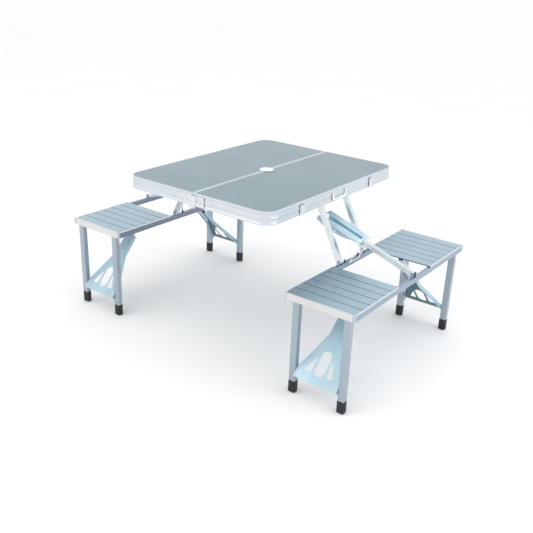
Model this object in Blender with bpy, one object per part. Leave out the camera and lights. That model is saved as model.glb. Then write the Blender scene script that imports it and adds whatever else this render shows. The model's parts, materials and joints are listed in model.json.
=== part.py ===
"""Folding picnic table with four seats: a suitcase table top in two halves, two benches, eight legs.

X runs across the benches, Y along the fold line and the benches, Z up. The origin is on the floor
under the middle of the table top. The left half is the -X half; the front end is the -Y end.
Each half is drawn once, on the +X side, and mirrored by the signs `side` and `end`.
"""
import math

import bmesh
import bpy
from mathutils import Matrix, Vector

GAP = 0.0003

# Table top
HALF_LENGTH = 0.426
HALF_WIDTH = 0.336
FOLD_GAP = 0.0008
TOP_Z = 0.634
RIM_DEPTH = 0.047
RIM_WALL = 0.006
CORNER_RADIUS = 0.055
CORNER_STEPS = 8
PANEL_THICKNESS = 0.004
PANEL_DROP = 0.001
HOLE_RADIUS = 0.021
RIM_BOTTOM = TOP_Z - RIM_DEPTH
PANEL_TOP = TOP_Z - PANEL_DROP
PANEL_UNDER = PANEL_TOP - PANEL_THICKNESS

# Hinge of the two halves, under the fold line
HINGE_Z = RIM_BOTTOM - 0.0005
HINGE_LEAF = 0.002
HINGE_REACH = 0.055
HINGE_EYE = 0.007
HINGE_PIN = 0.0027

# Bench
SEAT_TOP = 0.378
SEAT_FRAME = 0.025
BENCH_IN = 0.407
BENCH_OUT = 0.677
BENCH_HALF = 0.4165
SEAT_INNER = 0.123
END_RAIL = 0.0078
RAIL_WIDTH = 0.013
RAIL_TOP = 0.373
RAIL_HEIGHT = 0.020
SLATS = 6
GROOVE_WIDTH = 0.003
GROOVE_DEPTH = 0.0015
SEAT_SURFACE = SEAT_TOP - 0.0005
LEG_MIDDLE = 0.548

# Legs and their braces
LEG_SPREAD = 0.100
LEG_X = 0.025
LEG_Y = 0.020
TUBE_WALL = 0.0015
LEG_PIVOT_Y = 0.3975
LEG_PIVOT_Z = 0.362
LEG_HEAD = 0.0045
FOOT_X = 0.0284
FOOT_Y = 0.021
FOOT_HEIGHT = 0.046
BRACE_PIVOT_Z = 0.090
LINK_PIVOT_Y = 0.145
LINK_X = 0.018
LINK_THICKNESS = 0.012
SHEET = 0.0015

# Supports between the table top and a bench
TUBE = 0.018
TUBE_Y = 0.085
TUBE_HEAD = 0.002
UPPER_PIVOT = Vector((0.293, 0.6165))
LOWER_PIVOT = Vector((0.4135, RAIL_TOP + 0.0095))
STAY_PIVOT = Vector((0.660, RAIL_TOP + 0.0115))
BRACE_ON_TUBE = 0.1494
BRACE_TIP = 0.090
PROP_PIVOT = Vector((BENCH_IN + RAIL_WIDTH + 0.0025, 0.3685))
PROP_ANGLE = 62.9
PROP_LENGTH = 0.074
EAR = 0.0025
EAR_GAP = 0.0005

# Fittings
CAP_RADIUS = 0.028
HANDLE_HALF = 0.042
LATCH_Y = 0.235

SIDES = {"left": -1, "right": 1}
ENDS = {"front": -1, "back": 1}

COLOURS = {
    "panel": ((0.42, 0.50, 0.50), 0.35, 0.6),
    "rim": ((0.80, 0.82, 0.82), 0.30, 0.9),
    "seat": ((0.45, 0.52, 0.56), 0.35, 0.7),
    "end_rail": ((0.76, 0.77, 0.77), 0.32, 0.9),
    "rail": ((0.50, 0.52, 0.62), 0.35, 0.8),
    "leg": ((0.52, 0.57, 0.60), 0.35, 0.8),
    "brace": ((0.42, 0.66, 0.78), 0.40, 0.3),
    "tube": ((0.72, 0.74, 0.76), 0.30, 0.9),
    "link": ((0.66, 0.74, 0.78), 0.35, 0.7),
    "rubber": ((0.012, 0.013, 0.02), 0.60, 0.0),
    "plastic": ((0.85, 0.87, 0.88), 0.40, 0.0),
    "steel": ((0.60, 0.62, 0.64), 0.30, 1.0),
}


def clear_scene():
    for obj in list(bpy.data.objects):
        bpy.data.objects.remove(obj, do_unlink=True)


def material(kind):
    found = bpy.data.materials.get(kind)
    if found:
        return found
    colour, roughness, metallic = COLOURS[kind]
    made = bpy.data.materials.new(kind)
    made.use_nodes = True
    shader = made.node_tree.nodes["Principled BSDF"]
    shader.inputs["Base Color"].default_value = (*colour, 1.0)
    shader.inputs["Roughness"].default_value = roughness
    shader.inputs["Metallic"].default_value = metallic
    made.diffuse_color = (*colour, 1.0)
    return made


def place(name, bm, kind, origin=(0, 0, 0), smooth=False):
    """Turns bm, drawn in world coordinates, into an object whose own origin is at `origin`."""
    bmesh.ops.recalc_face_normals(bm, faces=bm.faces)
    bmesh.ops.translate(bm, verts=bm.verts, vec=-Vector(origin))
    mesh = bpy.data.meshes.new(name)
    bm.to_mesh(mesh)
    bm.free()
    if smooth:
        mesh.shade_smooth()
        mesh.set_sharp_from_angle(angle=math.radians(35))
    mesh.materials.append(material(kind))
    obj = bpy.data.objects.new(name, mesh)
    obj.location = origin
    bpy.context.scene.collection.objects.link(obj)
    return obj


def combine(obj, helper, operation):
    """Adds or cuts a helper solid, which stays in the scene unrendered."""
    helper.hide_render = True
    helper.display_type = "WIRE"
    modifier = obj.modifiers.new(helper.name, "BOOLEAN")
    modifier.operation = operation
    modifier.solver = "EXACT"
    modifier.object = helper


def box(low, high):
    """A bmesh box between two corners, given in any order."""
    bm = bmesh.new()
    a = Vector([min(p, q) for p, q in zip(low, high)])
    b = Vector([max(p, q) for p, q in zip(low, high)])
    bmesh.ops.create_cube(bm, size=1.0)
    bmesh.ops.scale(bm, verts=bm.verts, vec=b - a)
    bmesh.ops.translate(bm, verts=bm.verts, vec=(a + b) / 2)
    return bm


def rod(start, finish, radius, steps=16):
    """A bmesh cylinder from start to finish."""
    start, finish = Vector(start), Vector(finish)
    bm = bmesh.new()
    bmesh.ops.create_cone(
        bm, cap_ends=True, segments=steps, radius1=radius, radius2=radius, depth=(finish - start).length
    )
    turn = (finish - start).to_track_quat("Z", "Y").to_matrix().to_4x4()
    bmesh.ops.transform(bm, matrix=Matrix.Translation((start + finish) / 2) @ turn, verts=bm.verts)
    return bm


def prism(outline, place_point, near, far):
    """A bmesh prism: place_point(u, v, w) puts the outline's points (u, v) at the depths near and far."""
    bm = bmesh.new()
    rings = [[bm.verts.new(place_point(u, v, w)) for u, v in outline] for w in (near, far)]
    bm.faces.new(rings[0])
    bm.faces.new(reversed(rings[1]))
    bridge(bm, rings[0], rings[1])
    return bm


def bridge(bm, ring, other):
    for i in range(len(ring)):
        j = (i + 1) % len(ring)
        bm.faces.new((ring[i], ring[j], other[j], other[i]))


def square_tube(start, finish, across, width, depth, wall):
    """A hollow bar from start to finish: width along `across`, depth along the third direction."""
    start, finish, across = Vector(start), Vector(finish), Vector(across)
    third = across.cross(finish - start).normalized()
    bm = bmesh.new()
    rings = []
    for inset in (0, wall):
        for point in (start, finish):
            ring = []
            for u, v in ((-1, -1), (1, -1), (1, 1), (-1, 1)):
                offset = across * (u * (width / 2 - inset)) + third * (v * (depth / 2 - inset))
                ring.append(bm.verts.new(point + offset))
            rings.append(ring)
    outer_a, outer_b, inner_a, inner_b = rings
    for a, b in ((outer_a, outer_b), (inner_b, inner_a), (outer_b, inner_b), (inner_a, outer_a)):
        bridge(bm, a, b)
    return bm


# ---------------------------------------------------------------- table top


def half_outline(inset):
    """The outline of the +X half: square at the fold line, rounded at its two outer corners."""
    left = FOLD_GAP + inset
    reach = HALF_LENGTH - inset
    centre_x = HALF_WIDTH - CORNER_RADIUS
    centre_y = HALF_LENGTH - CORNER_RADIUS
    radius = CORNER_RADIUS - inset
    points = [(left, -reach)]
    for start, y in ((-90, -centre_y), (0, centre_y)):
        for step in range(CORNER_STEPS + 1):
            turn = math.radians(start + 90 * step / CORNER_STEPS)
            points.append((centre_x + radius * math.cos(turn), y + radius * math.sin(turn)))
    points.append((left, reach))
    return points


def hole_cutter(name):
    return place(name, rod((0, 0, RIM_BOTTOM - 0.01), (0, 0, TOP_Z + 0.01), HOLE_RADIUS, 32), "steel")


def rim(name, side):
    """The bent edge profile round one half: a flat band between two raised lips, with a ridge."""
    band, ridge = 0.0014, 0.0004
    profile = [
        (0, RIM_BOTTOM),
        (0, RIM_BOTTOM + 0.006),
        (band, RIM_BOTTOM + 0.008),
        (band, RIM_BOTTOM + 0.020),
        (ridge, RIM_BOTTOM + 0.022),
        (ridge, RIM_BOTTOM + 0.025),
        (band, RIM_BOTTOM + 0.027),
        (band, TOP_Z - 0.009),
        (0, TOP_Z - 0.007),
        (0, TOP_Z - 0.001),
        (0.0015, TOP_Z),
        (RIM_WALL - 0.001, TOP_Z),
        (RIM_WALL, PANEL_TOP),
        (RIM_WALL, RIM_BOTTOM),
    ]
    bm = bmesh.new()
    rings = []
    for inset, z in profile:
        rings.append([bm.verts.new((side * x, y, z)) for x, y in half_outline(inset)])
    for i, ring in enumerate(rings):
        bridge(bm, ring, rings[(i + 1) % len(rings)])
    obj = place(name, bm, "rim", smooth=True)
    combine(obj, hole_cutter(name + "_hole"), "DIFFERENCE")


def panel(name, side):
    bm = prism(half_outline(RIM_WALL + GAP), lambda x, y, z: (side * x, y, z), PANEL_UNDER, PANEL_TOP)
    obj = place(name, bm, "panel")
    combine(obj, hole_cutter(name + "_hole"), "DIFFERENCE")


def pivot_bracket(name, side):
    """A plate under the panel with a pair of ears for each support tube."""
    x, z = UPPER_PIVOT
    under = PANEL_UNDER - GAP
    base = under - 0.0022
    bm = box((side * (x - 0.0065), -0.105, under), (side * (x + 0.0135), 0.105, base))
    obj = place(name, bm, "steel")
    ears(obj, side, x, (base + 0.001, z - 0.009), (-TUBE_Y, TUBE_Y), TUBE)


def ears(obj, side, x, heights, rows, width, half=0.008):
    """Pairs of ears on either side of each tube in `rows`, joined to obj."""
    for y in rows:
        for face in (-1, 1):
            near = y + face * (width / 2 + EAR_GAP)
            far = near + face * EAR
            bm = box((side * (x - half), near, heights[0]), (side * (x + half), far, heights[1]))
            name = f"{obj.name}_ear_{round(1000 * near)}"
            combine(obj, place(name, bm, "steel"), "UNION")


def hinge_leaf(name, side, end):
    """The left leaf carries the eye; the right one steps over it and carries the pin."""
    face = HALF_LENGTH + GAP
    step = face + HINGE_LEAF + GAP
    low, high = RIM_BOTTOM + 0.004, TOP_Z - 0.007
    if side < 0:
        bm = box((-HINGE_REACH, end * face, low), (-FOLD_GAP, end * (face + HINGE_LEAF), high))
        obj = place(name, bm, "steel")
        tab = box((-0.020, end * face, low + 0.002), (0, end * (face + HINGE_LEAF), HINGE_Z - HINGE_EYE))
        combine(obj, place(name + "_tab", tab, "steel"), "UNION")
        eye = rod((0, end * face, HINGE_Z), (0, end * (face + HINGE_LEAF), HINGE_Z), HINGE_EYE)
        combine(obj, place(name + "_eye", eye, "steel"), "UNION")
        hole = rod((0, end * (face - 0.002), HINGE_Z), (0, end * (step + 0.002), HINGE_Z), HINGE_PIN + GAP)
        combine(obj, place(name + "_bore", hole, "steel"), "DIFFERENCE")
        return
    outer = step + HINGE_LEAF
    outline = [(FOLD_GAP, step), (0.014, step), (0.014, face), (HINGE_REACH, face), (HINGE_REACH, face + HINGE_LEAF)]
    outline += [(0.018, face + HINGE_LEAF), (0.018, outer), (FOLD_GAP, outer)]
    bm = prism(outline, lambda x, y, z: (x, end * y, z), low, high)
    obj = place(name, bm, "steel")
    tab = box((0, end * step, low + 0.002), (0.012, end * outer, HINGE_Z - HINGE_EYE))
    combine(obj, place(name + "_tab", tab, "steel"), "UNION")
    eye = rod((0, end * step, HINGE_Z), (0, end * outer, HINGE_Z), HINGE_EYE)
    combine(obj, place(name + "_eye", eye, "steel"), "UNION")
    pin = rod((0, end * face, HINGE_Z), (0, end * (outer - 0.0005), HINGE_Z), HINGE_PIN)
    combine(obj, place(name + "_pin", pin, "steel"), "UNION")


def umbrella_cap():
    """A flat plug for the umbrella hole: a wide flange over both halves and a skirt in the hole."""
    profile = [
        (0, 0.0040),
        (0.017, 0.0040),
        (0.019, 0.0030),
        (CAP_RADIUS - 0.002, 0.0024),
        (CAP_RADIUS, 0.0010),
        (CAP_RADIUS, GAP),
        (HOLE_RADIUS - 0.001, GAP),
        (HOLE_RADIUS - 0.001, -0.012),
        (0, -0.012),
    ]
    steps = 32
    bm = bmesh.new()
    rings = []
    for radius, height in profile[1:-1]:
        ring = []
        for step in range(steps):
            turn = 2 * math.pi * step / steps
            ring.append(bm.verts.new((radius * math.cos(turn), radius * math.sin(turn), TOP_Z + height)))
        rings.append(ring)
    for ring, other in zip(rings, rings[1:]):
        bridge(bm, ring, other)
    bm.faces.new(rings[0])
    bm.faces.new(reversed(rings[-1]))
    place("umbrella_cap", bm, "plastic", origin=(0, 0, TOP_Z), smooth=True)


def carry_handle():
    """A flat loop that hangs on two pins on the outside of the right rim."""
    x = HALF_WIDTH + GAP
    pivot = (x + 0.0015, 0, TOP_Z - 0.016)
    width, reach, bar = 0.003, 0.026, 0.007
    outline = [(-HANDLE_HALF - bar / 2, 0.0015), (-HANDLE_HALF - bar / 2, -reach + 0.006)]
    outline += [(-HANDLE_HALF + 0.003, -reach), (HANDLE_HALF - 0.003, -reach)]
    outline += [(HANDLE_HALF + bar / 2, -reach + 0.006), (HANDLE_HALF + bar / 2, 0.0015)]
    outline += [(HANDLE_HALF - bar / 2, 0.0015), (HANDLE_HALF - bar / 2, -reach + bar + 0.004)]
    outline += [(HANDLE_HALF - 0.009, -reach + bar), (-HANDLE_HALF + 0.009, -reach + bar)]
    outline += [(-HANDLE_HALF + bar / 2, -reach + bar + 0.004), (-HANDLE_HALF + bar / 2, 0.0015)]
    bm = prism(outline, lambda y, z, w: (w, y, pivot[2] + z), x, x + width)
    place("carry_handle", bm, "plastic", origin=pivot)


def latch(name, end):
    """A hasp that hangs on the right rim and hooks over the other rim when the case is shut."""
    x = HALF_WIDTH + GAP
    y = end * LATCH_Y
    top = TOP_Z - 0.012
    outline = [(0, 0), (0.0025, 0), (0.0025, -0.030), (0.0045, -0.033), (0.0045, -0.036), (0, -0.036)]
    bm = prism(outline, lambda u, v, w: (x + u, w, top + v), y - 0.015, y + 0.015)
    place(name, bm, "steel", origin=(x + 0.00125, y, top - 0.0015))


# ---------------------------------------------------------------- bench


def long_rail(name, side, x_face, boss_direction):
    """A bench rail with a boss at each leg's pivot, and ears for the pivots above it."""
    low = RAIL_TOP - RAIL_HEIGHT
    reach = BENCH_HALF - END_RAIL - GAP
    x_other = x_face - boss_direction * RAIL_WIDTH
    bm = box((side * x_face, -reach, low), (side * x_other, reach, RAIL_TOP))
    obj = place(name, bm, "rail")
    leg_x = LEG_MIDDLE - boss_direction * LEG_SPREAD
    leg_face = leg_x - boss_direction * (LEG_X / 2 + GAP)
    for tag, end in ENDS.items():
        y = end * LEG_PIVOT_Y
        start = (side * (x_face - boss_direction * 0.002), y, LEG_PIVOT_Z)
        pin = rod(start, (side * leg_face, y, LEG_PIVOT_Z), 0.004, 12)
        combine(obj, place(f"{name}_boss_{tag}", pin, "steel"), "UNION")
    return obj


def inner_rail(name, side):
    obj = long_rail(name, side, BENCH_IN + RAIL_WIDTH, 1)
    heights = (RAIL_TOP - 0.001, LOWER_PIVOT.y + 0.0075)
    ears(obj, side, LOWER_PIVOT.x, heights, (-TUBE_Y, TUBE_Y), TUBE, half=0.0055)


def outer_rail(name, side):
    obj = long_rail(name, side, BENCH_OUT - RAIL_WIDTH, -1)
    heights = (RAIL_TOP - 0.001, STAY_PIVOT.y + 0.0055)
    ears(obj, side, STAY_PIVOT.x + 0.008, heights, (0,), TUBE, half=0.0055)


def seat(name, side, end):
    """Slats pressed from one sheet, with a pair of ears under it for the leg brace's link."""
    start, finish = SEAT_INNER, BENCH_HALF - END_RAIL - GAP
    pitch = (finish - start) / SLATS
    under = RAIL_TOP + GAP
    outline = [(finish, under), (start, under), (start, SEAT_SURFACE)]
    for i in range(1, SLATS):
        middle = start + i * pitch
        for shift, z in ((-1, SEAT_SURFACE), (-1, None), (1, None), (1, SEAT_SURFACE)):
            height = SEAT_SURFACE - GROOVE_DEPTH if z is None else z
            outline.append((middle + shift * GROOVE_WIDTH / 2, height))
    outline.append((finish, SEAT_SURFACE))
    place_point = lambda y, z, x: (side * x, end * y, z)
    obj = place(name, prism(outline, place_point, BENCH_IN, BENCH_OUT), "seat")
    for face in (-1, 1):
        near = LEG_MIDDLE + face * (LINK_X / 2 + EAR_GAP)
        far = near + face * EAR
        low = (side * near, end * (LINK_PIVOT_Y - 0.007), LEG_PIVOT_Z - 0.006)
        high = (side * far, end * (LINK_PIVOT_Y + 0.007), under + 0.001)
        combine(obj, place(f"{name}_ear_{face}", box(low, high), "steel"), "UNION")


def end_rail(name, side, end):
    low = (side * BENCH_IN, end * (BENCH_HALF - END_RAIL), SEAT_TOP - SEAT_FRAME)
    place(name, box(low, (side * BENCH_OUT, end * BENCH_HALF, SEAT_TOP)), "end_rail")


# ---------------------------------------------------------------- legs


def leg(name, side, end, x):
    top = LEG_PIVOT_Z + LEG_HEAD
    y = end * LEG_PIVOT_Y
    bm = square_tube((side * x, y, FOOT_HEIGHT + GAP), (side * x, y, top), (1, 0, 0), LEG_X, LEG_Y, TUBE_WALL)
    place(name, bm, "leg", origin=(side * x, y, LEG_PIVOT_Z))


def foot(name, side, end, x):
    y = end * LEG_PIVOT_Y
    low = (side * x - FOOT_X / 2, y - FOOT_Y / 2, 0)
    bm = box(low, (side * x + FOOT_X / 2, y + FOOT_Y / 2, FOOT_HEIGHT))
    obj = place(name, bm, "rubber", origin=(side * x, y, LEG_PIVOT_Z))
    bevel = obj.modifiers.new("edges", "BEVEL")
    bevel.width = 0.0012
    bevel.segments = 1


def toggle(lower, upper, folded_lower, folded_upper):
    """Lengths of the two links of a toggle that is straight at rest and doubled back when folded."""
    total = (upper - lower).length
    closed = (folded_upper - folded_lower).length
    return (total - closed) / 2, (total + closed) / 2


def frame_at(origin, along, side, across):
    """A function that puts plate coordinates (u along, v across, w off the open side) in the world."""
    turn = math.atan2(along.y, along.x) - math.pi / 2
    off = Vector((math.cos(turn), math.sin(turn)))

    def put(u, v, w):
        p = origin + along * u + off * w
        return across(side, p, v)

    return put


def section_loft(put, stations):
    """A thin pressed plate: one closed cross-section, a list of (v, w), for each station u."""
    bm = bmesh.new()
    rings = [[bm.verts.new(put(u, v, w)) for v, w in section] for u, section in stations]
    for ring, other in zip(rings, rings[1:]):
        bridge(bm, ring, other)
    bm.faces.new(rings[0])
    bm.faces.new(reversed(rings[-1]))
    return bm


def tray_section(half, floor, wall_top):
    """A shallow channel: a floor between two low walls, all of one sheet thickness."""
    outer = [(half, wall_top), (half, floor), (-half, floor), (-half, wall_top)]
    inner_half = half - SHEET
    inner = [(-inner_half, wall_top), (-inner_half, floor + SHEET), (inner_half, floor + SHEET), (inner_half, wall_top)]
    return outer + inner


def hat_section(half, edge):
    """A groove between two flat shoulders, whose outer flanges come down to the depth `edge`."""
    groove, low, high = 0.0112, -0.0098, 0.0085
    inner = groove + SHEET
    right = [(groove, low), (groove, high), (half, high), (half, edge), (half - SHEET, edge)]
    right += [(half - SHEET, high - SHEET), (inner, high - SHEET), (inner, low - 0.0010)]
    return right + [(-v, w) for v, w in reversed(right)]


def slot_outline(start, finish, half, steps=6):
    """A slot with round ends, along u."""
    points = []
    for centre, sign in ((finish - half, 1), (start + half, -1)):
        for step in range(steps + 1):
            turn = math.radians(-90 + 180 * step / steps)
            points.append((centre + sign * half * math.cos(turn), sign * half * math.sin(turn)))
    return points


def cut_plate(obj, put, outlines, depth):
    for i, outline in enumerate(outlines):
        bm = prism(outline, put, -depth, depth)
        cutter = place(f"{obj.name}_window_{i}", bm, "steel")
        combine(obj, cutter, "DIFFERENCE")


def leg_brace(name, side, end, knee, along, reach):
    """The pressed plate between two legs: a narrow neck that flares to the legs, with three windows."""
    put = frame_at(knee, along, side, lambda s, p, v: (s * (LEG_MIDDLE + v), end * p.x, p.y))
    wide = LEG_SPREAD - LEG_X / 2 - 2 * GAP
    widths = ((-0.065, 0.024), (0.035, 0.027), (reach - 0.008, wide), (reach + 0.024, wide))
    stations = [(u, tray_section(half, -0.0095, 0.0065)) for u, half in widths]
    bm = section_loft(put, stations)
    obj = place(name, bm, "brace", origin=put(0, 0, 0))
    windows = [slot_outline(reach - 0.098, reach - 0.004, 0.019)]
    for sign in (-1, 1):
        apex, base = reach - 0.072, reach - 0.011
        outline = [(apex, 0.028), (base, 0.030), (base, 0.054), (base - 0.006, 0.055)]
        windows.append([(u, sign * v) for u, v in outline])
    cut_plate(obj, put, windows, 0.02)


def leg_link(name, side, end, anchor, knee):
    direction = (knee - anchor).normalized()
    start, finish = anchor - direction * 0.004, knee + direction * 0.004
    ends = [(side * LEG_MIDDLE, end * p.x, p.y) for p in (start, finish)]
    bm = square_tube(*ends, (1, 0, 0), LINK_X, LINK_THICKNESS, TUBE_WALL)
    place(name, bm, "link", origin=(side * LEG_MIDDLE, end * anchor.x, anchor.y))


def seat_with_legs(side_name, side, end_name, end):
    tag = f"{side_name}_{end_name}"
    seat(f"{tag}_seat", side, end)
    end_rail(f"{tag}_end_rail", side, end)
    for leg_name, x in (("inner", LEG_MIDDLE - LEG_SPREAD), ("outer", LEG_MIDDLE + LEG_SPREAD)):
        leg(f"{tag}_{leg_name}_leg", side, end, x)
        foot(f"{tag}_{leg_name}_foot", side, end, x)
    on_leg = Vector((LEG_PIVOT_Y, BRACE_PIVOT_Z))
    folded = Vector((LEG_PIVOT_Y - (LEG_PIVOT_Z - BRACE_PIVOT_Z), LEG_PIVOT_Z))
    anchor = Vector((LINK_PIVOT_Y, LEG_PIVOT_Z))
    link_length, plate_length = toggle(on_leg, anchor, folded, anchor)
    knee = anchor + (on_leg - anchor).normalized() * link_length
    leg_brace(f"{tag}_leg_brace", side, end, knee, (on_leg - knee).normalized(), plate_length)
    leg_link(f"{tag}_leg_link", side, end, anchor, knee)


# ---------------------------------------------------------------- supports


def support_tube(name, side, y):
    direction = (LOWER_PIVOT - UPPER_PIVOT).normalized()
    ends = []
    for point in (UPPER_PIVOT - direction * TUBE_HEAD, LOWER_PIVOT + direction * TUBE_HEAD):
        ends.append((side * point.x, y, point.y))
    bm = square_tube(*ends, (0, 1, 0), TUBE, TUBE, TUBE_WALL)
    place(name, bm, "tube", origin=(side * UPPER_PIVOT.x, y, UPPER_PIVOT.y))


def support_points():
    """The toggle between a bench and its support tubes: the pivot on the tubes, and the knee."""
    span = LOWER_PIVOT - UPPER_PIVOT
    on_tube = UPPER_PIVOT + span.normalized() * BRACE_ON_TUBE
    folded_tube = Vector((UPPER_PIVOT.x - BRACE_ON_TUBE, UPPER_PIVOT.y))
    shift = Vector((-span.length - span.x, -span.y))
    plate_length, stay_length = toggle(on_tube, STAY_PIVOT, folded_tube, STAY_PIVOT + shift)
    knee = STAY_PIVOT + (on_tube - STAY_PIVOT).normalized() * stay_length
    return on_tube, knee, plate_length


def stay(name, side, knee):
    direction = (STAY_PIVOT - knee).normalized()
    ends = []
    for point in (knee - direction * TUBE_HEAD, STAY_PIVOT + direction * 0.008):
        ends.append((side * point.x, 0, point.y))
    bm = square_tube(*ends, (0, 1, 0), TUBE, TUBE, TUBE_WALL)
    place(name, bm, "tube", origin=(side * STAY_PIVOT.x, 0, STAY_PIVOT.y))


def support_brace(name, side, on_tube, knee, reach):
    """The pressed plate between the support tubes: a groove for the stay between two shoulders."""
    along = (on_tube - knee).normalized()
    put = frame_at(knee, along, side, lambda s, p, v: (s * p.x, v, p.y))
    tip = reach + BRACE_TIP
    flanges = ((-0.014, 0.040, 0.0055), (0.022, 0.0435, 0.0005), (0.047, 0.045, -0.0065))
    flanges += ((reach - 0.020, 0.045, -0.0108), (reach + 0.060, 0.045, -0.0108))
    flanges += ((tip, 0.045, -0.0045),)
    stations = [(u, hat_section(half, edge)) for u, half, edge in flanges]
    obj = place(name, section_loft(put, stations), "brace", origin=put(0, 0, 0))
    notch, half = reach + 0.072, 0.0135
    windows = [[(notch, -half), (tip + 0.010, -half), (tip + 0.010, half), (notch, half)]]
    for sign in (-1, 1):
        windows.append([(u, v + sign * 0.030) for u, v in slot_outline(0.003, reach - 0.015, 0.0015, 3)])
    cut_plate(obj, put, windows, 0.02)
    for sign in (-1, 1):
        start, finish = sign * (0.045 - SHEET / 2), sign * (TUBE_Y - TUBE / 2 - 0.0005)
        lug = rod(put(reach, start, 0), put(reach, finish, 0), 0.004, 12)
        combine(obj, place(f"{name}_lug_{sign}", lug, "steel"), "UNION")


def prop(name, side):
    """A lyre of two curved strips that stands on the inner rail, either side of the stay."""
    angle = math.radians(PROP_ANGLE)
    along = Vector((math.cos(angle), math.sin(angle)))
    put = frame_at(PROP_PIVOT, along, side, lambda s, p, v: (s * p.x, v, p.y))
    steps = 6
    outer, inner = [], []
    for step in range(steps + 1):
        part = step / steps
        middle = 0.0305 - 0.0135 * part ** 2
        u = 0.004 + (PROP_LENGTH - 0.004) * part
        outer.append((u, middle + 0.0040))
        inner.append((u, middle - 0.0040))
    half = [(-0.0015, 0.0), (-0.0015, 0.0345)] + outer + list(reversed(inner))
    outline = half + [(u, -v) for u, v in reversed(half[1:])]
    place(name, prism(outline, put, -0.0008, 0.0008), "plastic", origin=put(0, 0, 0))


def bench(side_name, side):
    inner_rail(f"{side_name}_inner_rail", side)
    outer_rail(f"{side_name}_outer_rail", side)
    for tube_name, y in (("front", -TUBE_Y), ("back", TUBE_Y)):
        support_tube(f"{side_name}_{tube_name}_support_tube", side, y)
    on_tube, knee, reach = support_points()
    stay(f"{side_name}_stay_tube", side, knee)
    support_brace(f"{side_name}_support_brace", side, on_tube, knee, reach)
    prop(f"{side_name}_prop", side)
    for end_name, end in ENDS.items():
        seat_with_legs(side_name, side, end_name, end)


def main():
    clear_scene()
    for side_name, side in SIDES.items():
        rim(f"{side_name}_rim", side)
        panel(f"{side_name}_panel", side)
        pivot_bracket(f"{side_name}_pivot_bracket", side)
        for end_name, end in ENDS.items():
            hinge_leaf(f"{side_name}_{end_name}_hinge_leaf", side, end)
        bench(side_name, side)
    umbrella_cap()
    carry_handle()
    for end_name, end in ENDS.items():
        latch(f"{end_name}_latch", end)


main()
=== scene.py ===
"""The looks of the folding picnic table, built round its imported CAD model."""
import json
import math

import bmesh
import bpy
from mathutils import Matrix, Vector


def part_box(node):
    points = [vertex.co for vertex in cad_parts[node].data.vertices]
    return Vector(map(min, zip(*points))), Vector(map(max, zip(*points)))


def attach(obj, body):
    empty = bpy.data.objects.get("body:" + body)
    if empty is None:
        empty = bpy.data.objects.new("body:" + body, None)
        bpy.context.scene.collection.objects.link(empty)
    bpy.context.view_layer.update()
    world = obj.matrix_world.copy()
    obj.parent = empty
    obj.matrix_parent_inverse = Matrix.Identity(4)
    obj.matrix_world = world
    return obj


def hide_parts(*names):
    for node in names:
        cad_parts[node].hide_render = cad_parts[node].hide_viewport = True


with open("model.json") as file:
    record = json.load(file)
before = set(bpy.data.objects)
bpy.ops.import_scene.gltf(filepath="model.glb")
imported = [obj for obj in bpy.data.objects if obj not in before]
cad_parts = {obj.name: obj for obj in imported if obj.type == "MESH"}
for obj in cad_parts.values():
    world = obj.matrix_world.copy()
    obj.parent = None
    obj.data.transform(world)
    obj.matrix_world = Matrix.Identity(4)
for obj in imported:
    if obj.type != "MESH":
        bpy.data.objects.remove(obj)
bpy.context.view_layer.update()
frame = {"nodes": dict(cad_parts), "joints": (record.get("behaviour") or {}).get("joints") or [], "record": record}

SIDES = {"left": -1, "right": 1}
ENDS = {"front": -1, "back": 1}


# ---------------------------------------------------------------- node materials


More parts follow.
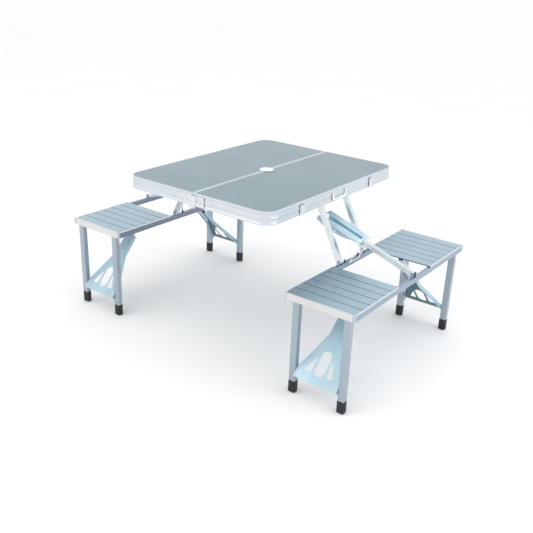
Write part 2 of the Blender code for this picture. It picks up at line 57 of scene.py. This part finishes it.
class Nodes:
    """Short calls for building one material's node tree."""

    def __init__(self, name):
        self.material = bpy.data.materials.new(name)
        self.material.use_nodes = True
        self.tree = self.material.node_tree
        self.shader = self.tree.nodes["Principled BSDF"]
        self.place = self.tree.nodes.new("ShaderNodeTexCoord").outputs["Object"]

    def new(self, kind, **settings):
        node = self.tree.nodes.new("ShaderNode" + kind)
        for key, value in settings.items():
            setattr(node, key, value)
        return node

    def link(self, source, target):
        self.tree.links.new(source, target)

    def noise(self, stretch, detail, roughness=0.6):
        """Noise whose period along X, Y and Z is about one over the three numbers of `stretch`, in metres."""
        mapping = self.new("Mapping")
        mapping.inputs["Scale"].default_value = stretch
        self.link(self.place, mapping.inputs["Vector"])
        noise = self.new("TexNoise")
        noise.inputs["Scale"].default_value = 1.0
        noise.inputs["Detail"].default_value = detail
        noise.inputs["Roughness"].default_value = roughness
        self.link(mapping.outputs["Vector"], noise.inputs["Vector"])
        return noise.outputs["Fac"]

    def ramp(self, source, stops):
        """Turns a value into a colour; `stops` pairs positions with colours."""
        ramp = self.new("ValToRGB")
        points = ramp.color_ramp.elements
        while len(points) < len(stops):
            points.new(0.5)
        for point, (position, colour) in zip(points, stops):
            point.position = position
            point.color = (*colour, 1.0)
        self.link(source, ramp.inputs["Fac"])
        return ramp.outputs["Color"]

    def span(self, source, low, high, start=0.3, finish=0.7):
        """Maps a value between `start` and `finish` to one between `low` and `high`."""
        node = self.new("MapRange")
        node.inputs["From Min"].default_value = start
        node.inputs["From Max"].default_value = finish
        node.inputs["To Min"].default_value = low
        node.inputs["To Max"].default_value = high
        self.link(source, node.inputs["Value"])
        return node.outputs["Result"]

    def mix(self, factor, first, second):
        """Blends two colours; each of the three can be a number, a colour or another node's output."""
        node = self.new("Mix", data_type="RGBA")
        for value, socket in ((factor, node.inputs[0]), (first, node.inputs[6]), (second, node.inputs[7])):
            if hasattr(value, "is_output"):
                self.link(value, socket)
            else:
                socket.default_value = (*value, 1.0) if isinstance(value, tuple) else value
        return node.outputs[2]

    def bump(self, source, strength, distance, normal=None):
        node = self.new("Bump")
        node.inputs["Strength"].default_value = strength
        node.inputs["Distance"].default_value = distance
        self.link(source, node.inputs["Height"])
        if normal is not None:
            self.link(normal, node.inputs["Normal"])
        return node.outputs["Normal"]


def brushed(name, colour, roughness, grain, metallic, contrast, wear):
    """Brushed or drawn metal, with faint handling marks.

    The fine streaks run along the axis with the smallest number of `grain`.
    """
    nodes = Nodes(name)
    streaks = nodes.noise(grain, 4.0, 0.7)
    clouds = nodes.noise((7.0, 7.0, 7.0), 3.0)
    specks = nodes.noise((160.0, 160.0, 160.0), 2.0)
    dark = tuple(c * (1 - contrast) for c in colour)
    light = tuple(min(1.0, c * (1 + contrast)) for c in colour)
    base = nodes.ramp(streaks, ((0.3, dark), (0.7, light)))
    worn = tuple(c * 0.90 for c in colour)
    base = nodes.mix(nodes.span(clouds, 0.0, 0.5 * wear, 0.45, 0.75), base, worn)
    nodes.link(base, nodes.shader.inputs["Base Color"])
    grained = nodes.span(streaks, roughness * 0.8, roughness * 1.25)
    handled = nodes.span(clouds, roughness * 0.8, roughness * 1.3)
    nodes.link(nodes.mix(0.35, grained, handled), nodes.shader.inputs["Roughness"])
    nodes.shader.inputs["Metallic"].default_value = metallic
    normal = nodes.bump(streaks, 0.20, 0.0002)
    normal = nodes.bump(specks, 0.05, 0.0002, normal)
    nodes.link(normal, nodes.shader.inputs["Normal"])
    return nodes.material


def coated(name, colour, roughness, metallic, grain, depth, coat=0.0):
    """Paint, zinc or moulded plastic: a fine orange peel, soft patches of shade, and rubbed spots."""
    nodes = Nodes(name)
    peel = nodes.noise((grain, grain, grain), 3.0)
    clouds = nodes.noise((9.0, 9.0, 9.0), 4.0)
    rubs = nodes.noise((45.0, 45.0, 45.0), 5.0, 0.7)
    dark = tuple(c * 0.90 for c in colour)
    light = tuple(min(1.0, c * 1.08) for c in colour)
    base = nodes.ramp(clouds, ((0.35, dark), (0.65, light)))
    pale = tuple(min(1.0, c * 1.18 + 0.02) for c in colour)
    base = nodes.mix(nodes.span(rubs, 0.0, 0.5, 0.58, 0.75), base, pale)
    nodes.link(base, nodes.shader.inputs["Base Color"])
    nodes.link(nodes.span(rubs, roughness * 0.85, roughness * 1.2), nodes.shader.inputs["Roughness"])
    nodes.shader.inputs["Metallic"].default_value = metallic
    nodes.shader.inputs["Coat Weight"].default_value = coat
    nodes.link(nodes.bump(peel, depth, 0.0003), nodes.shader.inputs["Normal"])
    return nodes.material


ALONG_X = (5.0, 900.0, 900.0)
ALONG_Y = (900.0, 5.0, 900.0)
ALONG_Z = (900.0, 900.0, 5.0)
ROUND_RIM = (5.0, 5.0, 900.0)

# One look for each material slot of the record.
LOOKS = {
    "panel": brushed("panel_look", (0.22, 0.315, 0.35), 0.30, (700.0, 4.0, 700.0), 0.75, 0.04, 0.4),
    "rim": brushed("rim_look", (0.63, 0.68, 0.72), 0.28, ROUND_RIM, 0.85, 0.05, 0.5),
    "seat": brushed("seat_look", (0.375, 0.50, 0.585), 0.28, ALONG_X, 0.65, 0.05, 0.4),
    "end_rail": brushed("end_rail_look", (0.69, 0.69, 0.69), 0.30, ALONG_X, 0.8, 0.04, 0.5),
    "rail": brushed("rail_look", (0.31, 0.39, 0.48), 0.30, ALONG_Y, 0.85, 0.06, 0.5),
    "leg": brushed("leg_look", (0.39, 0.46, 0.51), 0.32, ALONG_Z, 0.85, 0.06, 0.5),
    "tube": brushed("tube_look", (0.70, 0.75, 0.77), 0.28, (40.0, 900.0, 40.0), 0.85, 0.05, 0.5),
    "link": brushed("link_look", (0.55, 0.66, 0.72), 0.32, (900.0, 40.0, 40.0), 0.85, 0.06, 0.6),
    "brace": coated("brace_look", (0.45, 0.62, 0.72), 0.42, 0.15, 300.0, 0.06, 0.1),
    "rubber": coated("foot_look", (0.010, 0.011, 0.018), 0.55, 0.0, 500.0, 0.25),
    "plastic": coated("plastic_look", (0.86, 0.88, 0.90), 0.35, 0.0, 260.0, 0.06, 0.1),
    "prop": coated("prop_look", (0.86, 0.90, 0.92), 0.35, 0.0, 260.0, 0.06, 0.1),
    "steel": brushed("steel_look", (0.70, 0.73, 0.77), 0.28, (60.0, 60.0, 60.0), 0.9, 0.08, 0.6),
}

# Looks for single faces and for the pieces that have no CAD node.
# Painted shade: a darker copy of the blue plates' colour for their back faces.
BRACE_PAINTED_SHADE = coated("brace_painted_shade_look", (0.068, 0.155, 0.195), 0.45, 0.15, 300.0, 0.08, 0.0)
GROOVE_BLUE = coated("groove_look", (0.44, 0.67, 0.80), 0.36, 0.1, 300.0, 0.06, 0.1)
# Painted light: a paler copy of the blue for the support plates' faces turned to the front.
SHOULDER_PAINTED_LIGHT = coated("shoulder_painted_light_look", (0.58, 0.78, 0.87), 0.36, 0.1, 300.0, 0.05, 0.1)
RAIL_SHADE = brushed("rail_shade_look", (0.23, 0.26, 0.34), 0.34, ALONG_Y, 0.85, 0.06, 0.4)
# Painted shade: a dark colour for the walls and floor of the grooves between seat slats.
SEAT_GROOVE_PAINTED_SHADE = coated("seat_groove_painted_shade_look", (0.12, 0.17, 0.21), 0.5, 0.5, 300.0, 0.10)
# Dark metal for the bolts, and painted shade for the plug's finger slot.
DARK_AND_SLOT_SHADE = coated("bolt_and_slot_shade_look", (0.10, 0.12, 0.17), 0.35, 0.6, 300.0, 0.15)
# The seat lips' metal, painted paler than the seat as a highlight along its edges.
LIP_PAINTED_HIGHLIGHT = brushed("lip_painted_highlight_look", (0.68, 0.74, 0.77), 0.22, (5.0, 5.0, 700.0), 0.7, 0.03, 0.3)
CORNER = coated("corner_look", (0.44, 0.54, 0.61), 0.35, 0.1, 260.0, 0.06, 0.1)
RIVET = brushed("rivet_look", (0.50, 0.52, 0.57), 0.22, (300.0, 300.0, 300.0), 1.0, 0.06, 0.6)


# ---------------------------------------------------------------- helpers


def body_of(node):
    """The name of the body that a CAD node belongs to."""
    for body, members in frame["record"]["behaviour"]["bodies"].items():
        if node in members:
            return body
    raise KeyError(node)


def slot_of(node):
    """The record's material slot of a CAD node."""
    for part in frame["record"]["subparts"]:
        if part["node"] == node:
            return part["material_slot"]
    raise KeyError(node)


def pivot_of(joint):
    """A joint's point in the world at rest."""
    for row in frame["joints"]:
        if row["name"] == joint:
            return row["pos_m"]
    raise KeyError(joint)


def piece(name, bm, look, body, smooth=True):
    """Makes one object of a bmesh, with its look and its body."""
    bmesh.ops.recalc_face_normals(bm, faces=bm.faces)
    mesh = bpy.data.meshes.new(name)
    bm.to_mesh(mesh)
    bm.free()
    if smooth:
        mesh.shade_smooth()
        mesh.set_sharp_from_angle(angle=math.radians(35))
    mesh.materials.append(look)
    obj = bpy.data.objects.new(name, mesh)
    bpy.context.scene.collection.objects.link(obj)
    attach(obj, body)
    return obj


def softened(node, width, extra=(), choose=None):
    """Stands for a CAD node with the same shape, its edges rounded as an extrusion's or a pressing's are.

    `extra` lists further looks, and choose(centre, normal) gives the number of a face's look.
    """
    source = frame["nodes"][node]
    bm = bmesh.new()
    bm.from_mesh(source.data)
    bmesh.ops.remove_doubles(bm, verts=bm.verts, dist=1e-6)
    bmesh.ops.dissolve_limit(bm, angle_limit=math.radians(0.5), verts=bm.verts, edges=bm.edges)
    obj = piece(node + "_shown", bm, LOOKS[slot_of(node)], body_of(node), smooth=False)
    for look in extra:
        obj.data.materials.append(look)
    if choose:
        for face in obj.data.polygons:
            face.material_index = choose(face.center, face.normal)
    bevel = obj.modifiers.new("edges", "BEVEL")
    bevel.width = width
    bevel.segments = 2
    bevel.limit_method = "ANGLE"
    bevel.angle_limit = math.radians(32)
    bevel.use_clamp_overlap = True
    bevel.harden_normals = True
    obj.data.shade_smooth()
    obj.data.set_sharp_from_angle(angle=math.radians(50))
    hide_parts(node)
    return obj


def rivet_head(bm, centre, normal, radius, height):
    """Adds a domed rivet head that stands on a face with the given normal."""
    normal = Vector(normal).normalized()
    turn = normal.to_track_quat("Z", "Y").to_matrix().to_4x4()
    steps, rings = 14, 4
    loops = []
    for ring in range(rings + 1):
        angle = math.pi / 2 * ring / rings
        r, h = radius * math.cos(angle), height * math.sin(angle)
        if ring == rings:
            loops.append([bm.verts.new(turn @ Vector((0, 0, h)) + Vector(centre))])
            continue
        loop = []
        for step in range(steps):
            around = 2 * math.pi * step / steps
            point = Vector((r * math.cos(around), r * math.sin(around), h))
            loop.append(bm.verts.new(turn @ point + Vector(centre)))
        loops.append(loop)
    bm.faces.new(loops[0])
    for low, high in zip(loops, loops[1:]):
        for i in range(steps):
            j = (i + 1) % steps
            if len(high) == 1:
                bm.faces.new((low[i], low[j], high[0]))
            else:
                bm.faces.new((low[i], low[j], high[j], high[i]))


def block(bm, low, high, bevel):
    """Adds a box between two opposite corners, with its edges rounded by `bevel`."""
    a = Vector([min(p, q) for p, q in zip(low, high)])
    b = Vector([max(p, q) for p, q in zip(low, high)])
    made = bmesh.ops.create_cube(bm, size=1.0)
    bmesh.ops.scale(bm, verts=made["verts"], vec=b - a)
    bmesh.ops.translate(bm, verts=made["verts"], vec=(a + b) / 2)
    edges = list({edge for vert in made["verts"] for edge in vert.link_edges})
    bmesh.ops.bevel(bm, geom=edges, offset=bevel, segments=2, affect="EDGES", profile=0.6)


# ---------------------------------------------------------------- CAD nodes with a better surface


# How wide the rounded edges are, by material slot.
EDGE_WIDTHS = {
    "leg": 0.0012,
    "tube": 0.0010,
    "end_rail": 0.0008,
    "link": 0.0008,
    "steel": 0.0004,
    "prop": 0.0003,
}
BRACE_EDGE = 0.0005
RAIL_EDGE = 0.0008

# The way a blue plate's front faces, in degrees above level, turned away from the table's middle.
LEG_BRACE_FACES = 42.88
SUPPORT_BRACE_FACES = 71.60
GROOVE_HALF = 0.0125


def give_looks():
    """Gives each CAD node its slot's look, and rounds the edges of the slots that have a width."""
    for node, obj in frame["nodes"].items():
        slot = slot_of(node)
        obj.data.materials.clear()
        obj.data.materials.append(LOOKS[slot])
        if slot in EDGE_WIDTHS:
            softened(node, EDGE_WIDTHS[slot])


def leg_braces():
    """Pressed plates in light blue, with painted shade: a darker copy of the blue on the back faces, turned away
    from the face that looks up and outwards.
    """
    tilt = math.radians(LEG_BRACE_FACES)
    for side_name in SIDES:
        for end_name, end in ENDS.items():
            front = Vector((0, end * math.cos(tilt), math.sin(tilt)))

            def choose(centre, normal, front=front):
                # Faces turned away from the front get look 1, the painted shade.
                return 1 if normal.dot(front) < -0.3 else 0

            softened(f"{side_name}_{end_name}_leg_brace", BRACE_EDGE, (BRACE_PAINTED_SHADE,), choose)


def support_braces():
    """Shoulders with painted light, a paler copy of the blue on the faces turned to the front; a blue groove
    between them; and painted shade, a darker copy, on the back faces.
    """
    tilt = math.radians(SUPPORT_BRACE_FACES)
    for side_name, side in SIDES.items():
        front = Vector((side * math.cos(tilt), 0, math.sin(tilt)))

        def choose(centre, normal, front=front):
            turned = normal.dot(front)
            # Faces turned away from the front get look 1, the painted shade.
            if turned < -0.5:
                return 1
            if abs(centre.y) < GROOVE_HALF:
                return 2
            # Faces turned to the front, outside the groove, get look 3, the painted light.
            if turned > 0.5:
                return 3
            return 0

        softened(f"{side_name}_support_brace", BRACE_EDGE, (BRACE_PAINTED_SHADE, GROOVE_BLUE, SHOULDER_PAINTED_LIGHT), choose)


def rails():
    """Drawn rails, darker on the face turned to the table."""
    for side_name, side in SIDES.items():

        def choose(centre, normal, side=side):
            return 1 if normal.x * side < -0.7 else 0

        for row in ("inner", "outer"):
            softened(f"{side_name}_{row}_rail", RAIL_EDGE, (RAIL_SHADE,), choose)


# ---------------------------------------------------------------- seats


# Rivet heads, as radius and height.
EAR_RIVET = (0.0035, 0.0012)
LEG_RIVET = (0.0042, 0.0012)
LEAF_RIVET = (0.0036, 0.0012)
BESIDE_RIVET = (0.0032, 0.0014)
RIM_RIVET = (0.0026, 0.0011)

SLATS = 6
SLAT_RIBS = 9
SLAT_MARGIN = 0.0035
GROOVE = 0.0030
GROOVE_DEEP = 0.0016
# One fine rib's cut: how far across it each point lies, and how far down.
RIB_CUT = ((0.0, 0.0), (0.0006, 0.00025), (0.0014, 0.00025), (0.0020, 0.0))
# A face whose middle lies between these depths is in a groove, and gets the painted shade of the grooves.
GROOVE_FACES = (0.0006, 0.0040)
SEAT_THICK = 0.0042
LIP_WIDTH = 0.0030
LIP_PROUD = 0.0003
LIP_EDGE = 0.0006


def slat_profile(start, finish, top, under):
    """The seat across its slats, as (y, z) points.

    Each slat has flat edges and fine ribs, with a square groove between slats.
    """
    pitch = (finish - start) / SLATS
    points = [(start, under), (start, top)]
    for i in range(SLATS):
        left = start + i * pitch + (GROOVE / 2 if i else 0)
        right = start + (i + 1) * pitch - (GROOVE / 2 if i < SLATS - 1 else 0)
        if i:
            points += [(left, top - GROOVE_DEEP), (left, top)]
        step = (right - left - 2 * SLAT_MARGIN) / SLAT_RIBS
        for rib in range(SLAT_RIBS):
            at = left + SLAT_MARGIN + rib * step
            points += [(at + across, top - down) for across, down in RIB_CUT]
        points.append((right, top))
        if i < SLATS - 1:
            points.append((right, top - GROOVE_DEEP))
    points.append((finish, under))
    return points


def seats():
    """Ribbed slats with painted shade in the grooves between them, and a lip on both long sides, painted paler as
    a highlight.
    """
    for side_name, side in SIDES.items():
        for end_name, end in ENDS.items():
            node = f"{side_name}_{end_name}_seat"
            low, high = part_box(node)
            top = high[2]
            under = top - SEAT_THICK
            ys = sorted((abs(low[1]), abs(high[1])))
            xs = sorted((abs(low[0]), abs(high[0])))
            profile = slat_profile(ys[0], ys[1], top, under)
            bm = bmesh.new()
            near, far = xs[0] + LIP_WIDTH, xs[1] - LIP_WIDTH
            rings = [[bm.verts.new((side * x, end * y, z)) for y, z in profile] for x in (near, far)]
            bm.faces.new(rings[0])
            bm.faces.new(reversed(rings[1]))
            for i in range(len(profile)):
                j = (i + 1) % len(profile)
                bm.faces.new((rings[0][i], rings[0][j], rings[1][j], rings[1][i]))
            obj = piece(node + "_shown", bm, LOOKS["seat"], body_of(node), smooth=False)
            # Look 1 is the painted shade in the grooves.
            obj.data.materials.append(SEAT_GROOVE_PAINTED_SHADE)
            for face in obj.data.polygons:
                in_groove = top - GROOVE_FACES[1] < face.center.z < top - GROOVE_FACES[0]
                if in_groove and len(face.vertices) == 4:
                    face.material_index = 1
            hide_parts(node)
            bm = bmesh.new()
            for a, b in ((xs[0], near), (far, xs[1])):
                corner = (side * b, end * ys[1], top + LIP_PROUD)
                block(bm, (side * a, end * ys[0], under), corner, LIP_EDGE)
            # The lips are real; their pale colour is a painted highlight.
            piece(node + "_lips", bm, LIP_PAINTED_HIGHLIGHT, body_of(node))


EAR_GAP = 0.0005
EAR_THICK = 0.0025
EAR_HALF = 0.007
EAR_BELOW = 0.006
EAR_EDGE = 0.0004
EAR_TOP_DEEP = 0.0040


def seat_ears():
    """The two ears under each seat that hold the leg brace's link, with a rivet head on each."""
    for side_name in SIDES:
        for end_name in ENDS:
            link_low, link_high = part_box(f"{side_name}_{end_name}_leg_link")
            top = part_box(f"{side_name}_{end_name}_seat")[1][2] - EAR_TOP_DEEP
            _, y, z = pivot_of(f"{side_name}_{end_name}_link_fold")
            bm = bmesh.new()
            for x, way in ((link_low[0] - EAR_GAP, -1), (link_high[0] + EAR_GAP, 1)):
                outer = x + way * EAR_THICK
                block(bm, (x, y - EAR_HALF, z - EAR_BELOW), (outer, y + EAR_HALF, top), EAR_EDGE)
                rivet_head(bm, (outer, y, z), (way, 0, 0), *EAR_RIVET)
            piece(f"{side_name}_{end_name}_seat_ears", bm, LOOKS["steel"], f"{side_name}_bench")


CORNER_PROUD = 0.0004
CORNER_INWARD = 0.0015
CORNER_LENGTH = 0.0085
CORNER_EDGE = 0.0016


def end_corners():
    """Moulded corner caps over both ends of each end rail."""
    for side_name in SIDES:
        for end_name, end in ENDS.items():
            low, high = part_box(f"{side_name}_{end_name}_end_rail")
            bm = bmesh.new()
            y_out = max(abs(low[1]), abs(high[1])) + CORNER_PROUD
            y_in = min(abs(low[1]), abs(high[1])) - CORNER_INWARD
            for x_edge, way in ((low[0], -1), (high[0], 1)):
                a = (x_edge + way * CORNER_PROUD, end * y_in, low[2] - CORNER_PROUD)
                b = (x_edge - way * CORNER_LENGTH, end * y_out, high[2] + CORNER_PROUD)
                block(bm, a, b, CORNER_EDGE)
            piece(f"{side_name}_{end_name}_corner_caps", bm, CORNER, f"{side_name}_bench")


# ---------------------------------------------------------------- feet and plug


FOOT_SOLE = ((0.0, 0.0024), (0.0016, 0.0006), (0.004, 0.0))
FOOT_GROOVES = (0.011, 0.019)
FOOT_LIP = ((0.040, 0.0002), (0.0408, -0.0001), (0.0452, -0.0001), (0.0459, 0.0006), (0.0459, 0.0018))
FOOT_CORNER = 0.0030


def foot_profile():
    """From the floor up, as (height, inset): a chamfered sole, two grooves round the shoe, and a lip."""
    rows = list(FOOT_SOLE)
    for start in FOOT_GROOVES:
        rows += [(start, 0.0), (start + 0.0007, 0.0005), (start + 0.0020, 0.0005), (start + 0.0027, 0.0)]
    return rows + list(FOOT_LIP)


def feet():
    """Rubber shoes on the legs, with rounded corners."""
    for node in list(frame["nodes"]):
        if not node.endswith("_foot"):
            continue
        low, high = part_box(node)
        half_x, half_y = (high[0] - low[0]) / 2, (high[1] - low[1]) / 2
        centre = ((low[0] + high[0]) / 2, (low[1] + high[1]) / 2)
        bm = bmesh.new()
        rings = []
        for z, inset in foot_profile():
            ring = []
            for sx, sy, start in ((1, 1, 0), (-1, 1, 90), (-1, -1, 180), (1, -1, 270)):
                for step in range(4):
                    turn = math.radians(start + 30 * step)
                    x = sx * (half_x - inset - FOOT_CORNER) + FOOT_CORNER * math.cos(turn)
                    y = sy * (half_y - inset - FOOT_CORNER) + FOOT_CORNER * math.sin(turn)
                    ring.append(bm.verts.new((centre[0] + x, centre[1] + y, z)))
            rings.append(ring)
        for a, b in zip(rings, rings[1:]):
            for i in range(len(a)):
                j = (i + 1) % len(a)
                bm.faces.new((a[i], a[j], b[j], b[i]))
        bm.faces.new(rings[0])
        bm.faces.new(rings[-1])
        obj = piece(node + "_shown", bm, LOOKS["rubber"], body_of(node))
        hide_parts(node)


# The plug's rings from its flat middle to the foot of its skirt, as (radius, height over the rim).
CAP_RING = ((0.0120, 0.0036), (0.0127, 0.0029), (0.0137, 0.0029), (0.0144, 0.0037))
CAP_FLANGE = ((0.0175, 0.0039), (0.0205, 0.0033), (0.0260, 0.0026), (0.0275, 0.0018), (0.0280, 0.0008))
CAP_SKIRT = ((0.0280, 0.0003), (0.0200, 0.0003), (0.0200, -0.0120))
CAP_RISE = 0.0040
SLOT_HALF_LONG = 0.0080
SLOT_HALF_WIDE = 0.0010
SLOT_LOW = 0.0034
SLOT_HIGH = 0.0038
SLOT_EDGE = 0.0001


def cap():
    """The umbrella plug: a domed flange, a shallow ring, and a finger slot that is only a thin dark block on the
    top, painted shade in place of a hollow.
    """
    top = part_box("umbrella_cap")[1][2] - CAP_RISE
    steps = 48
    bm = bmesh.new()
    rings = []
    for radius, height in CAP_RING + CAP_FLANGE + CAP_SKIRT:
        ring = []
        for step in range(steps):
            turn = 2 * math.pi * step / steps
            ring.append(bm.verts.new((radius * math.cos(turn), radius * math.sin(turn), top + height)))
        rings.append(ring)
    for a, b in zip(rings, rings[1:]):
        for i in range(steps):
            j = (i + 1) % steps
            bm.faces.new((a[i], a[j], b[j], b[i]))
    bm.faces.new(rings[0])
    bm.faces.new(rings[-1])
    obj = piece("umbrella_cap_shown", bm, LOOKS["plastic"], "umbrella_cap")
    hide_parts("umbrella_cap")
    # The slot is no hollow: a thin dark block laid on the top, painted shade.
    bm = bmesh.new()
    low = (-SLOT_HALF_LONG, -SLOT_HALF_WIDE, top + SLOT_LOW)
    block(bm, low, (SLOT_HALF_LONG, SLOT_HALF_WIDE, top + SLOT_HIGH), SLOT_EDGE)
    piece("umbrella_cap_slot_shade", bm, DARK_AND_SLOT_SHADE, "umbrella_cap")


# ---------------------------------------------------------------- rivets and bolts


LEG_BRACE_PIVOT_Z = 0.090


def leg_rivets():
    """Rivet heads on the outer faces of the legs, where the pressed brace pivots."""
    for side_name, side in SIDES.items():
        for end_name in ENDS:
            bm = bmesh.new()
            for row, way in (("inner", -side), ("outer", side)):
                low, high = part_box(f"{side_name}_{end_name}_{row}_leg")
                x = high[0] if way > 0 else low[0]
                y = (low[1] + high[1]) / 2
                rivet_head(bm, (x, y, LEG_BRACE_PIVOT_Z), (way, 0, 0), *LEG_RIVET)
            piece(f"{side_name}_{end_name}_leg_rivets", bm, RIVET, f"{side_name}_{end_name}_legs")


# How far the rim's flat band lies inside its lips.
RIM_BAND = 0.0014
# On each side of the fold: where the two rivets through a hinge leaf and the one beside it are.
LEAF_RIVETS_X = (0.022, 0.045)
LEAF_RIVETS_Z = 0.606
BESIDE_RIVET_X = 0.084
BESIDE_RIVET_Z = 0.604
RIM_RIVETS_Y = (-0.075, 0.075, -0.150, 0.150)
RIM_RIVETS_Z = 0.600


def rim_rivets():
    """Three rivets at each end of each half, by the fold, and four along the right rim."""
    rim_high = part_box("right_rim")[1]
    for end_name, end in ENDS.items():
        for side_name, side in SIDES.items():
            bm = bmesh.new()
            low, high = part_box(f"left_{end_name}_hinge_leaf")
            y = low[1] if end < 0 else high[1]
            for x in LEAF_RIVETS_X:
                rivet_head(bm, (side * x, y, LEAF_RIVETS_Z), (0, end, 0), *LEAF_RIVET)
            beside = (side * BESIDE_RIVET_X, end * (rim_high[1] - RIM_BAND), BESIDE_RIVET_Z)
            rivet_head(bm, beside, (0, end, 0), *BESIDE_RIVET)
            piece(f"{side_name}_{end_name}_hinge_rivets", bm, RIVET, f"{side_name}_half")
    bm = bmesh.new()
    for y in RIM_RIVETS_Y:
        rivet_head(bm, (rim_high[0] - RIM_BAND, y, RIM_RIVETS_Z), (1, 0, 0), *RIM_RIVET)
    piece("right_rim_rivets", bm, RIVET, "right_half")


RAIL_TOP = 0.3730
BOLT_X = 0.4120
BOLT_Y = 0.0475
# Washer, stud and wings: half widths along X and Y, then lowest and highest point over the rail, and edge.
BOLT_BLOCKS = (
    (0.0045, 0.0045, 0.0000, 0.0012, 0.0003),
    (0.0022, 0.0022, 0.0010, 0.0100, 0.0006),
    (0.0012, 0.0055, 0.0035, 0.0070, 0.0008),
)


def rail_bolts():
    """Two stud bolts with wing nuts on each inner rail."""
    for side_name, side in SIDES.items():
        x = side * BOLT_X
        bm = bmesh.new()
        for y in (-BOLT_Y, BOLT_Y):
            for half_x, half_y, low, high, edge in BOLT_BLOCKS:
                corner = (x + half_x, y + half_y, RAIL_TOP + high)
                block(bm, (x - half_x, y - half_y, RAIL_TOP + low), corner, edge)
        piece(f"{side_name}_rail_bolts", bm, DARK_AND_SLOT_SHADE, f"{side_name}_bench")


give_looks()
leg_braces()
support_braces()
rails()
seats()
seat_ears()
end_corners()
feet()
cap()
leg_rivets()
rim_rivets()
rail_bolts()


# ---------------------------------------------------------------- floor, lights, camera


FLOOR_HALF = 60.0
FLOOR_UNDER = 0.0002


def stage():
    """A plain pale floor, just under the feet."""
    bm = bmesh.new()
    bmesh.ops.create_grid(bm, x_segments=2, y_segments=2, size=FLOOR_HALF)
    mesh = bpy.data.meshes.new("floor")
    bm.to_mesh(mesh)
    bm.free()
    nodes = Nodes("floor_look")
    clouds = nodes.noise((1.5, 1.5, 1.5), 3.0)
    pale = nodes.ramp(clouds, ((0.3, (0.92, 0.92, 0.92)), (0.7, (0.95, 0.95, 0.95))))
    nodes.link(pale, nodes.shader.inputs["Base Color"])
    nodes.shader.inputs["Roughness"].default_value = 0.9
    nodes.shader.inputs["Specular IOR Level"].default_value = 0.1
    mesh.materials.append(nodes.material)
    floor = bpy.data.objects.new("floor", mesh)
    bpy.context.scene.collection.objects.link(floor)
    floor.location = (0, 0, -FLOOR_UNDER)


def area(name, place, target, size, power, colour):
    """A round soft light at `place`, turned to `target`."""
    data = bpy.data.lights.new(name, "AREA")
    data.shape = "DISK"
    data.size = size
    data.energy = power
    data.color = colour
    obj = bpy.data.objects.new(name, data)
    obj.location = place
    obj.rotation_euler = (Vector(target) - Vector(place)).to_track_quat("-Z", "Y").to_euler()
    bpy.context.scene.collection.objects.link(obj)


def lights():
    """An even white surround, a warm key light from the left and a cool fill light from the right."""
    world = bpy.data.worlds.new("studio")
    bpy.context.scene.world = world
    world.use_nodes = True
    background = world.node_tree.nodes["Background"]
    background.inputs["Color"].default_value = (1.0, 1.0, 1.0, 1.0)
    background.inputs["Strength"].default_value = 1.05
    area("key", (-1.2, -2.4, 3.4), (0, 0, 0.4), 3.2, 26.0, (1.0, 0.985, 0.96))
    area("fill", (3.2, 0.4, 2.2), (0.2, 0, 0.4), 2.4, 26.0, (0.95, 0.97, 1.0))
    bpy.context.scene.view_settings.view_transform = "Standard"


CAMERA_PLACE = (1.6312, -2.1725, 1.3739)
CAMERA_AZIMUTH = 36.60
CAMERA_ELEVATION = 22.98
CAMERA_ROLL = 2.28
CAMERA_LENS = 48.03


def camera():
    """Looks down on the front right corner, as in the photograph; angles in degrees, lens in mm."""
    azimuth = math.radians(CAMERA_AZIMUTH)
    elevation = math.radians(CAMERA_ELEVATION)
    roll = math.radians(CAMERA_ROLL)
    level = math.cos(elevation)
    ahead = Vector((-math.sin(azimuth) * level, math.cos(azimuth) * level, -math.sin(elevation)))
    right = ahead.cross(Vector((0, 0, 1))).normalized()
    up = right.cross(ahead)
    x_axis = right * math.cos(roll) + up * math.sin(roll)
    y_axis = -right * math.sin(roll) + up * math.cos(roll)
    turn = Matrix((x_axis, y_axis, -ahead)).transposed().to_4x4()
    data = bpy.data.cameras.new("camera")
    data.sensor_width = 36.0
    data.lens = CAMERA_LENS
    obj = bpy.data.objects.new("camera", data)
    obj.matrix_world = Matrix.Translation(CAMERA_PLACE) @ turn
    bpy.context.scene.collection.objects.link(obj)
    bpy.context.scene.camera = obj


stage()
lights()
camera()
